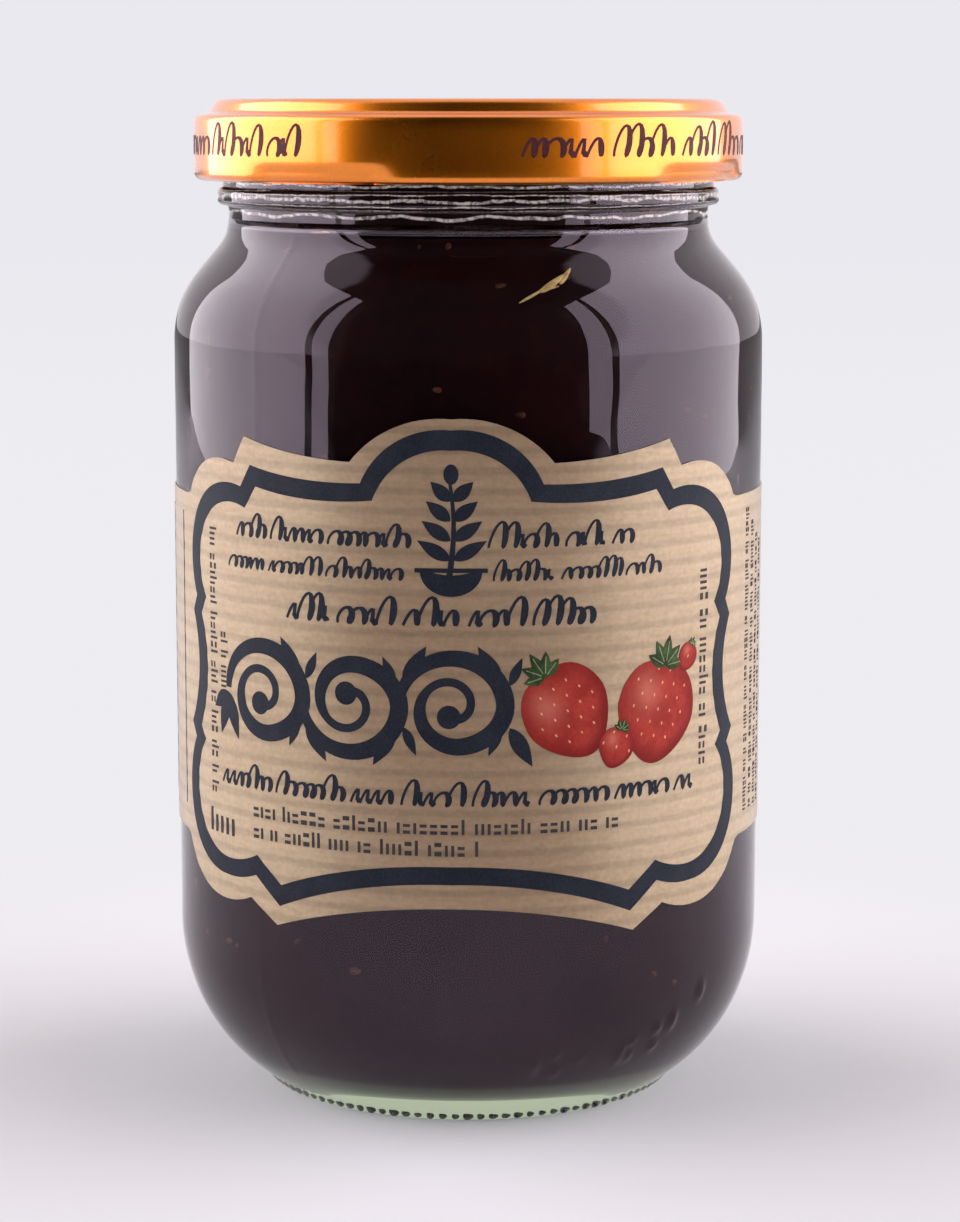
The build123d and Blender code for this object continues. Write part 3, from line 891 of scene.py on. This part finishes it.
class Print:
    # gathers flat shapes into one thin mesh: each has a face just proud of the surface and a back just
    # under

    def __init__(self, place, lift=sheet["lift"], sink=sheet["sink"]):
        self.place, self.lift, self.sink = place, lift, sink
        self.points, self.faces, self.count = [], [], 0

    def add(self, lines, outs, faces):
        self.points += [self.place(line[:, 0], line[:, 1], out) for line, out in zip(lines, outs)]
        self.faces += faces
        self.count += sum(len(line) for line in lines)

    def band(self, outer, inner, closed=True, steps=1):
        # between two lines of equally many points, in a few steps across where it is wide
        count = len(outer)
        across = [outer + (inner - outer) * share for share in np.linspace(0, 1, steps + 1)]
        lines = across + across[::-1]
        faces = gridFaces(len(lines), count, True, closed, self.count).tolist()
        if not closed:
            start = self.count + np.arange(len(lines)) * count
            faces += [start.tolist(), (start[::-1] + count - 1).tolist()]
        self.add(lines, [self.lift] * (steps + 1) + [-self.sink] * (steps + 1), faces)

    def stroke(self, line, widths):
        # a line given a width at each point, set off square to its direction there
        line = np.asarray(line, float)
        ahead = np.gradient(line, axis=0)
        square = np.stack([-ahead[:, 1], ahead[:, 0]], -1) / np.linalg.norm(ahead, axis=1)[:, None]
        half = square * np.broadcast_to(widths, len(line))[:, None] / 2
        self.band(line + half, line - half, False, 1 + int(np.max(widths) // 0.8))

    def patch(self, edge, middle, rings=3, lift=0.0):
        # filled: the outline drawn in towards its middle in rings
        edge, middle = np.asarray(edge, float), np.asarray(middle, float)
        count = len(edge)
        shares = np.linspace(1, 0.05, rings)
        front = [middle + (edge - middle) * share for share in shares]
        faces = gridFaces(rings, count, False, True, self.count).tolist()
        faces += gridFaces(rings, count, False, True, self.count + rings * count)[:, ::-1].tolist()
        outer = self.count + np.arange(count)
        after = np.roll(outer, -1)
        faces += np.stack([outer, outer + rings * count, after + rings * count, after], -1).tolist()
        tip = outer + (rings - 1) * count
        faces += [tip.tolist(), (tip[::-1] + rings * count).tolist()]
        self.add(front + front, [self.lift + lift] * rings + [-self.sink] * rings, faces)

    def oval(self, middle, reach, lift=0.0, count=14, tilt=0.0):
        # an ellipse, turned by tilt in degrees
        angle = np.arange(count) * tau / count
        flat = np.stack([reach[0] * np.cos(angle), reach[1] * np.sin(angle)], -1)
        c, s = math.cos(math.radians(tilt)), math.sin(math.radians(tilt))
        self.patch(middle + flat @ np.array([[c, s], [-s, c]]), middle, 2, lift)

    def block(self, low, high):
        # an upright rectangle between two corners
        left = np.array([[low[0], low[1]], [low[0], high[1]]])
        right = np.array([[high[0], low[1]], [high[0], high[1]]])
        self.band(left, right, False)

    def make(self, name, material, slot):
        points = np.concatenate(self.points)
        return addPiece(name, points, self.faces, material, crease=40, mend=True)


def mirrored(half):
    # a half outline from top middle to bottom middle, and its mirror image back up
    return np.vstack([half, (half * [-1, 1])[::-1][1:-1]])


outerBorder = joined(
    arc((0, 58.0), (6.3, 56.6), (10.4, 51.9), 22), arc((10.4, 51.9), (17.0, 51.95), (25.6, 53.1), 14),
    straight((25.6, 53.1), (27.3, 50.5)), arc((27.3, 50.5), (36.6, 47.6), (37.45, 36.8), 26),
    straight((37.45, 36.8), (38.5, 34.9)), arc((38.5, 34.9), (37.0, 27.7), (39.3, 21.5), 18),
    straight((39.3, 21.5), (38.1, 19.8)), arc((38.1, 19.8), (39.2, 10.2), (30.5, 4.6), 22),
    arc((30.5, 4.6), (27.8, 4.7), (25.2, 5.4), 8), straight((25.2, 5.4), (21.4, 2.3)),
    arc((21.4, 2.3), (10.8, 5.6), (0, 6.5), 18))
innerBorder = joined(
    arc((0, 55.75), (5.0, 54.7), (9.0, 50.0), 22), arc((9.0, 50.0), (16.5, 49.75), (24.7, 50.7), 14),
    straight((24.7, 50.7), (26.6, 48.1)), arc((26.6, 48.1), (34.5, 46.3), (34.9, 36.8), 26),
    straight((34.9, 36.8), (36.2, 34.9)), arc((36.2, 34.9), (34.7, 28.2), (36.6, 21.4), 18),
    straight((36.6, 21.4), (35.4, 19.9)), arc((35.4, 19.9), (36.9, 11.3), (30.2, 6.65), 22),
    arc((30.2, 6.65), (27.5, 6.9), (25.0, 7.8), 8), straight((25.0, 7.8), (21.2, 4.8)),
    arc((21.2, 4.8), (10.8, 7.75), (0, 8.55), 18))

border = Print(onJar)
border.band(mirrored(outerBorder), mirrored(innerBorder), True, 4)
border.make("borderPrint", navyInk, "ink")
print("stage: the border is printed")


def scrollWord(ink, start, end, foot, tall, picks, thick):
    # a row of slanted strokes that reads as a word from afar: x runs on while up = (1 - cos) / 2 of the
    # phase,
    # and a sine drawn from x turns an arch into a loop; some strokes stand high and some hang low
    count = max(2, round((end - start) / (tall * 0.80)))
    shares = picks.uniform(0.75, 1.25, count)
    shares /= shares.sum()
    phase = np.linspace(0, count * tau, count * 14 + 1)
    hump = np.clip((phase / tau).astype(int), 0, count - 1)
    within = phase / tau - hump
    kind = picks.random(count)
    high, low, bowl = kind < 0.24, kind > 0.86, (kind > 0.45) * (kind < 0.86)
    rise = np.where(high, picks.uniform(1.6, 1.95, count), 1.0)[hump]
    drop = np.where(low, 0.8, 0.0)[hump]
    loop = np.where(high, 0.30, np.where(bowl, 0.36, 0.13))[hump]
    share = (1 - np.cos(phase)) / 2
    up = tall * (share * rise - drop * np.sin(math.pi * within) ** 2 * (within > 0.5))
    pitch = (end - start) * shares
    along = start + (np.cumsum(pitch) - pitch)[hump] + within * pitch[hump] + up * 0.26
    along = along - np.sin(phase) * tall * 0.80 * loop
    falling = np.clip(-np.sin(phase), 0, 1)
    ink.stroke(np.stack([along, foot + up], -1), thick * (0.55 + 0.75 * falling))


def scrollLine(ink, start, end, foot, tall, seed, thick):
    # words of four to nine waves with a gap between them
    picks = np.random.default_rng(seed)
    at = start
    while at < end - tall:
        length = min(picks.uniform(3.0, 6.0) * tall, end - at)
        if end - at - length < 2.2 * tall:
            length = end - at
        scrollWord(ink, at, at + length - tall * 0.3, foot, tall, picks, thick)
        at += length + tall * 0.55


def tickLine(ink, start, end, foot, tall, seed, turned=False):
    # upright ticks and short dashes, in groups, as small type reads from afar
    picks = np.random.default_rng(seed)
    at = start
    while at < end:
        for number in range(int(picks.integers(2, 9))):
            wide = tall * picks.choice([0.19, 0.19, 0.46])
            high = tall * picks.choice([0.72, 0.72, 1.0])
            low = (at, foot)
            top = (at + wide, foot + (high if wide < tall * 0.3 else high * 0.30))
            if at + wide < end:
                ink.block(*((low, top) if not turned else ((low[1], low[0]), (top[1], top[0]))))
                if wide > tall * 0.3:
                    up = foot + high * 0.62
                    box = ((at, up), (at + wide, foot + high * 0.9))
                    ink.block(*(box if not turned else ((up, at), (foot + high * 0.9, at + wide))))
            at += wide + tall * 0.22
        at += tall * 0.45


script = Print(onJar)
for start, end, foot, tall, seed in (
        (-28.0, -4.6, 44.9, 1.5, 3), (4.2, 21.5, 44.9, 1.5, 5), (-29.5, -5.5, 41.2, 1.25, 7),
        (4.8, 25.5, 41.2, 1.25, 9), (-20.0, 16.5, 36.1, 1.75, 11), (-31.3, 31.3, 15.6, 1.55, 13)):
    scrollLine(script, start, end, foot, tall, seed, 0.36 * tall)
script.make("scrollPrint", navyInk, "ink")


def leafEdge(root, tip, bulge, count=16):
    # two bowed sides between the root and the tip, widest a little before the middle
    root, tip = np.array(root, float), np.array(tip, float)
    share = np.linspace(0, 1, count)[:, None]
    way = tip - root
    square = np.array([-way[1], way[0]]) / np.linalg.norm(way)
    width = bulge * np.sin(math.pi * share ** 0.8)
    left = root + way * share + square * width
    right = root + way * share - square * width
    return np.vstack([left, right[::-1][1:-1]])


scrollwork = dict(
    first=-23.9, pitch=12.0, up=26.9, reach=5.55, count=3, turns=1.30, shrink=4.35, ink=2.1, dot=1.35)


def runningScroll(middle, side):
    # half a turn over (or under) the middle at the full reach, then a spiral that winds in from there
    reach, turns = scrollwork["reach"], scrollwork["turns"]
    half = scrollwork["pitch"] / 2
    over = np.linspace(math.pi, 0, 30)[:-1]
    share = np.linspace(0, 1, 64)
    wound = -share * turns * tau
    radius = reach - scrollwork["shrink"] * share ** 0.85
    width = half + (radius - half) * np.clip(share * 6, 0, 1)
    along = np.concatenate([half * np.cos(over), width * np.cos(wound)])
    up = np.concatenate([reach * np.sin(over), radius * np.sin(wound)])
    return np.stack([middle + along, scrollwork["up"] + side * up], -1)


def makeScrollwork():
    # a wave of spirals that pass over and under in turn, with leaves in the gaps between them
    ink = Print(onJar)
    for number in range(scrollwork["count"]):
        side = 1 - 2 * (number % 2)
        middle = scrollwork["first"] + number * scrollwork["pitch"]
        line = runningScroll(middle, side)
        share = np.linspace(0, 1, len(line))
        swell = np.sin(math.pi * np.clip(share * 1.6, 0, 1)) ** 0.8
        ink.stroke(line, scrollwork["ink"] * (0.55 + 0.55 * swell) - 0.2)
        ink.oval(line[-1], (scrollwork["dot"],) * 2, count=18)
        gap = middle + scrollwork["pitch"] / 2
        for way, lean, tall in ((1, 1, 1.0), (-1, -1, 1.0), (1, -1, 0.62), (-1, 1, 0.62)):
            root = (gap + lean * 0.5, scrollwork["up"] - side * way * 2.4)
            tip = (gap + lean * 3.1 * tall, scrollwork["up"] - side * way * (3.4 + 3.5 * tall))
            edge = leafEdge(root, tip, 0.95 * tall)
            ink.patch(edge, edge.mean(0), 4)
    start = scrollwork["first"] - scrollwork["pitch"] / 2
    for tip in ((-1.6, -5.6), (1.8, -5.9), (-3.0, -2.6)):
        edge = leafEdge((start, scrollwork["up"] - 0.6), (start + tip[0], scrollwork["up"] + tip[1]), 0.95)
        ink.patch(edge, edge.mean(0), 4)
    return ink.make("scrollworkPrint", navyInk, "ink")


def makeSprig():
    # an upright sprig: a bent stem, pairs of leaves that shrink upwards and a bud on top, in a small bowl
    ink = Print(onJar)
    up = np.linspace(0, 1, 40)
    stem = np.stack([-0.2 + 0.5 * np.sin(up * 3.0), 41.6 + 10.6 * up], -1)
    ink.stroke(stem, 0.70 - 0.35 * up)
    for number in range(4):
        foot = 43.5 + number * 2.2
        reach = 3.9 - number * 0.5
        for side in (-1, 1):
            edge = leafEdge((0.1 + side * 0.15, foot), (0.1 + side * reach, foot + 2.2), 0.78)
            ink.patch(edge, edge.mean(0), 4)
    ink.oval((0.0, 53.1), (0.85, 1.15))
    half = np.linspace(0, math.pi, 26)
    bowl = np.stack([3.5 * np.cos(half), 42.3 - 2.9 * np.sin(half)], -1)
    ink.patch(bowl, (0, 41.4), 5)
    ink.stroke(straight((-4.1, 42.35), (4.1, 42.35), 20), 0.5)
    return ink.make("sprigPrint", navyInk, "ink")


makeScrollwork()
makeSprig()

small = Print(onJar)
tickLine(small, -25.5, 20.3, 12.3, 1.75, 21)
tickLine(small, -25.5, 3.3, 9.8, 1.75, 23)
tickLine(small, -34.2, -27.0, 9.3, 2.8, 25)
tickLine(small, 14.0, 45.8, -33.8, 1.5, 27, turned=True)
tickLine(small, 25.0, 34.5, -31.5, 1.4, 29, turned=True)
tickLine(small, 18.0, 42.0, 32.1, 1.7, 31, turned=True)
for number, along in enumerate((43.4, 45.6, 47.8, 50.0)):
    tickLine(small, 10.5, 47.0 - number * 1.5, along, 1.1, 33 + number, turned=True)
for number in range(8):
    small.block((-51.0, 11.0 + number * 5.0), (-42.3, 11.25 + number * 5.0))
small.block((-51.2, 11.0), (-50.95, 46.25))
small.block((-42.4, 11.0), (-42.15, 46.25))
small.make("smallPrint", greyInk, "ink")
print("stage: the lines are printed")

berries = ((13.3, 26.2, 5.2, 6.0, 34), (25.2, 25.4, 5.7, 6.3, -12), (19.4, 21.6, 2.3, 2.5, -20),
           (29.9, 31.0, 1.5, 1.8, -30))


def berryEdge(middle, wide, tall, tilt, count=44):
    # heart-like outline: a circle pinched to a blunt point below and pressed in a little on top
    angle = np.arange(count) * tau / count
    up = np.sin(angle)
    narrow = 1 - 0.28 * np.clip(-up, 0, 1) ** 1.4
    flat = np.stack([wide * np.cos(angle) * narrow, tall * (up - 0.12 * np.clip(up, 0, 1) ** 6)], -1)
    c, s = math.cos(math.radians(tilt)), math.sin(math.radians(tilt))
    return np.asarray(middle) + flat @ np.array([[c, s], [-s, c]])


def makeBerryInk():
    # soft red, darker to the rim and lighter on the lit side by the piece's own paint attribute
    material = finish("berryInk", (0.47, 0.050, 0.034), (0.32, 0.026, 0.019), 0.5, 420, 2600, 0.8, 0.5,
        IOR=1.2)
    tree = material.node_tree
    paint = node(tree, "ShaderNodeAttribute")
    paint.attribute_name = "paint"
    split = node(tree, "ShaderNodeSeparateColor")
    tree.links.new(paint.outputs["Color"], split.inputs[0])
    rim, shine = split.outputs[0], split.outputs[1]
    color = mixNode(tree, rim, tree.nodes["speckle"].outputs["Color"], (0.20, 0.012, 0.012))
    color = mixNode(tree, shine, color, (0.66, 0.20, 0.14))
    tree.links.new(color, tree.nodes["Principled BSDF"].inputs["Base Color"])
    return material


def paintBerries(piece, count, rings):
    # rim: how near the edge a point lies; shine: how near the upper left of its berry
    share = np.linspace(1, 0.05, rings)
    one = np.repeat(share, count)
    angle = np.tile(np.arange(count) * tau / count, rings)
    rim = eased(one, 0.62, 1.0) * (0.75 - 0.35 * np.cos(angle - math.radians(120)))
    x, y = one * np.cos(angle), one * np.sin(angle)
    shine = np.exp(-((x + 0.34) ** 2 / 0.10 + (y - 0.30) ** 2 / 0.12)) * 0.62
    single = np.stack([rim, shine, 0 * rim, 1 + 0 * rim], -1)
    both = np.concatenate([single, single])
    colors = np.tile(both, (len(berries), 1))
    layer = piece.data.color_attributes.new("paint", "FLOAT_COLOR", "POINT")
    layer.data.foreach_set("color", colors.ravel().astype(np.float32))


def makeBerries():
    # round berries, each with rows of seeds and a crown of leaves
    body, dots, crown, veins = Print(onJar), Print(onJar), Print(onJar), Print(onJar)
    veins.lift += 0.08
    for number, (along, up, wide, tall, tilt) in enumerate(berries):
        over = 0.01 * number
        middle = np.array([along, up])
        body.patch(berryEdge(middle, wide, tall, tilt), middle, 8, over)
        c, s = math.cos(math.radians(tilt)), math.sin(math.radians(tilt))
        step = 1.75
        rows = int(tall // step)
        for row in range(-rows, rows + 1):
            for column in range(-3, 4):
                x, y = (column + 0.5 * (row % 2)) * step * 1.02, row * step * 0.88
                if (x / wide) ** 2 + (y / tall) ** 2 < 0.66 - 0.25 * (y < 0) * abs(y / tall):
                    spot = middle + np.array([x * c - y * s, x * s + y * c])
                    dots.oval(spot, (0.11, 0.20), over + 0.012, 8, tilt)
        top = middle + np.array([-tall * 0.80 * s, tall * 0.80 * c])
        for fan in range(-2, 3):
            way = math.radians(90 + tilt + fan * 36)
            tip = top + (0.62 - 0.06 * abs(fan)) * wide * np.array([math.cos(way), math.sin(way)])
            edge = leafEdge(top, tip, 0.13 * wide)
            crown.patch(edge, edge.mean(0), 3, over + 0.018)
            veins.stroke(straight(top + (tip - top) * 0.15, top + (tip - top) * 0.8, 6), 0.11)
    piece = body.make("berryPrint", makeBerryInk(), "ink")
    paintBerries(piece, 44, 8)
    dots.make("berrySeeds", seedInk, "ink")
    crown.make("berryLeaves", leafInk, "ink")
    veins.make("leafVeins", veinInk, "ink")


makeBerries()
print("stage: the berries are printed")

ornament = Print(onLid, 0.02, 0.05)
for start, end, seed in ((-49.5, -20.2, 41), (6.0, 49.5, 43), (66.0, 90.0, 45)):
    scrollLine(ornament, start, end, 3.1, 2.0, seed, 0.62)
ornament.make("lidPrint", lidInk, "ink")
print("stage: the lid is printed")
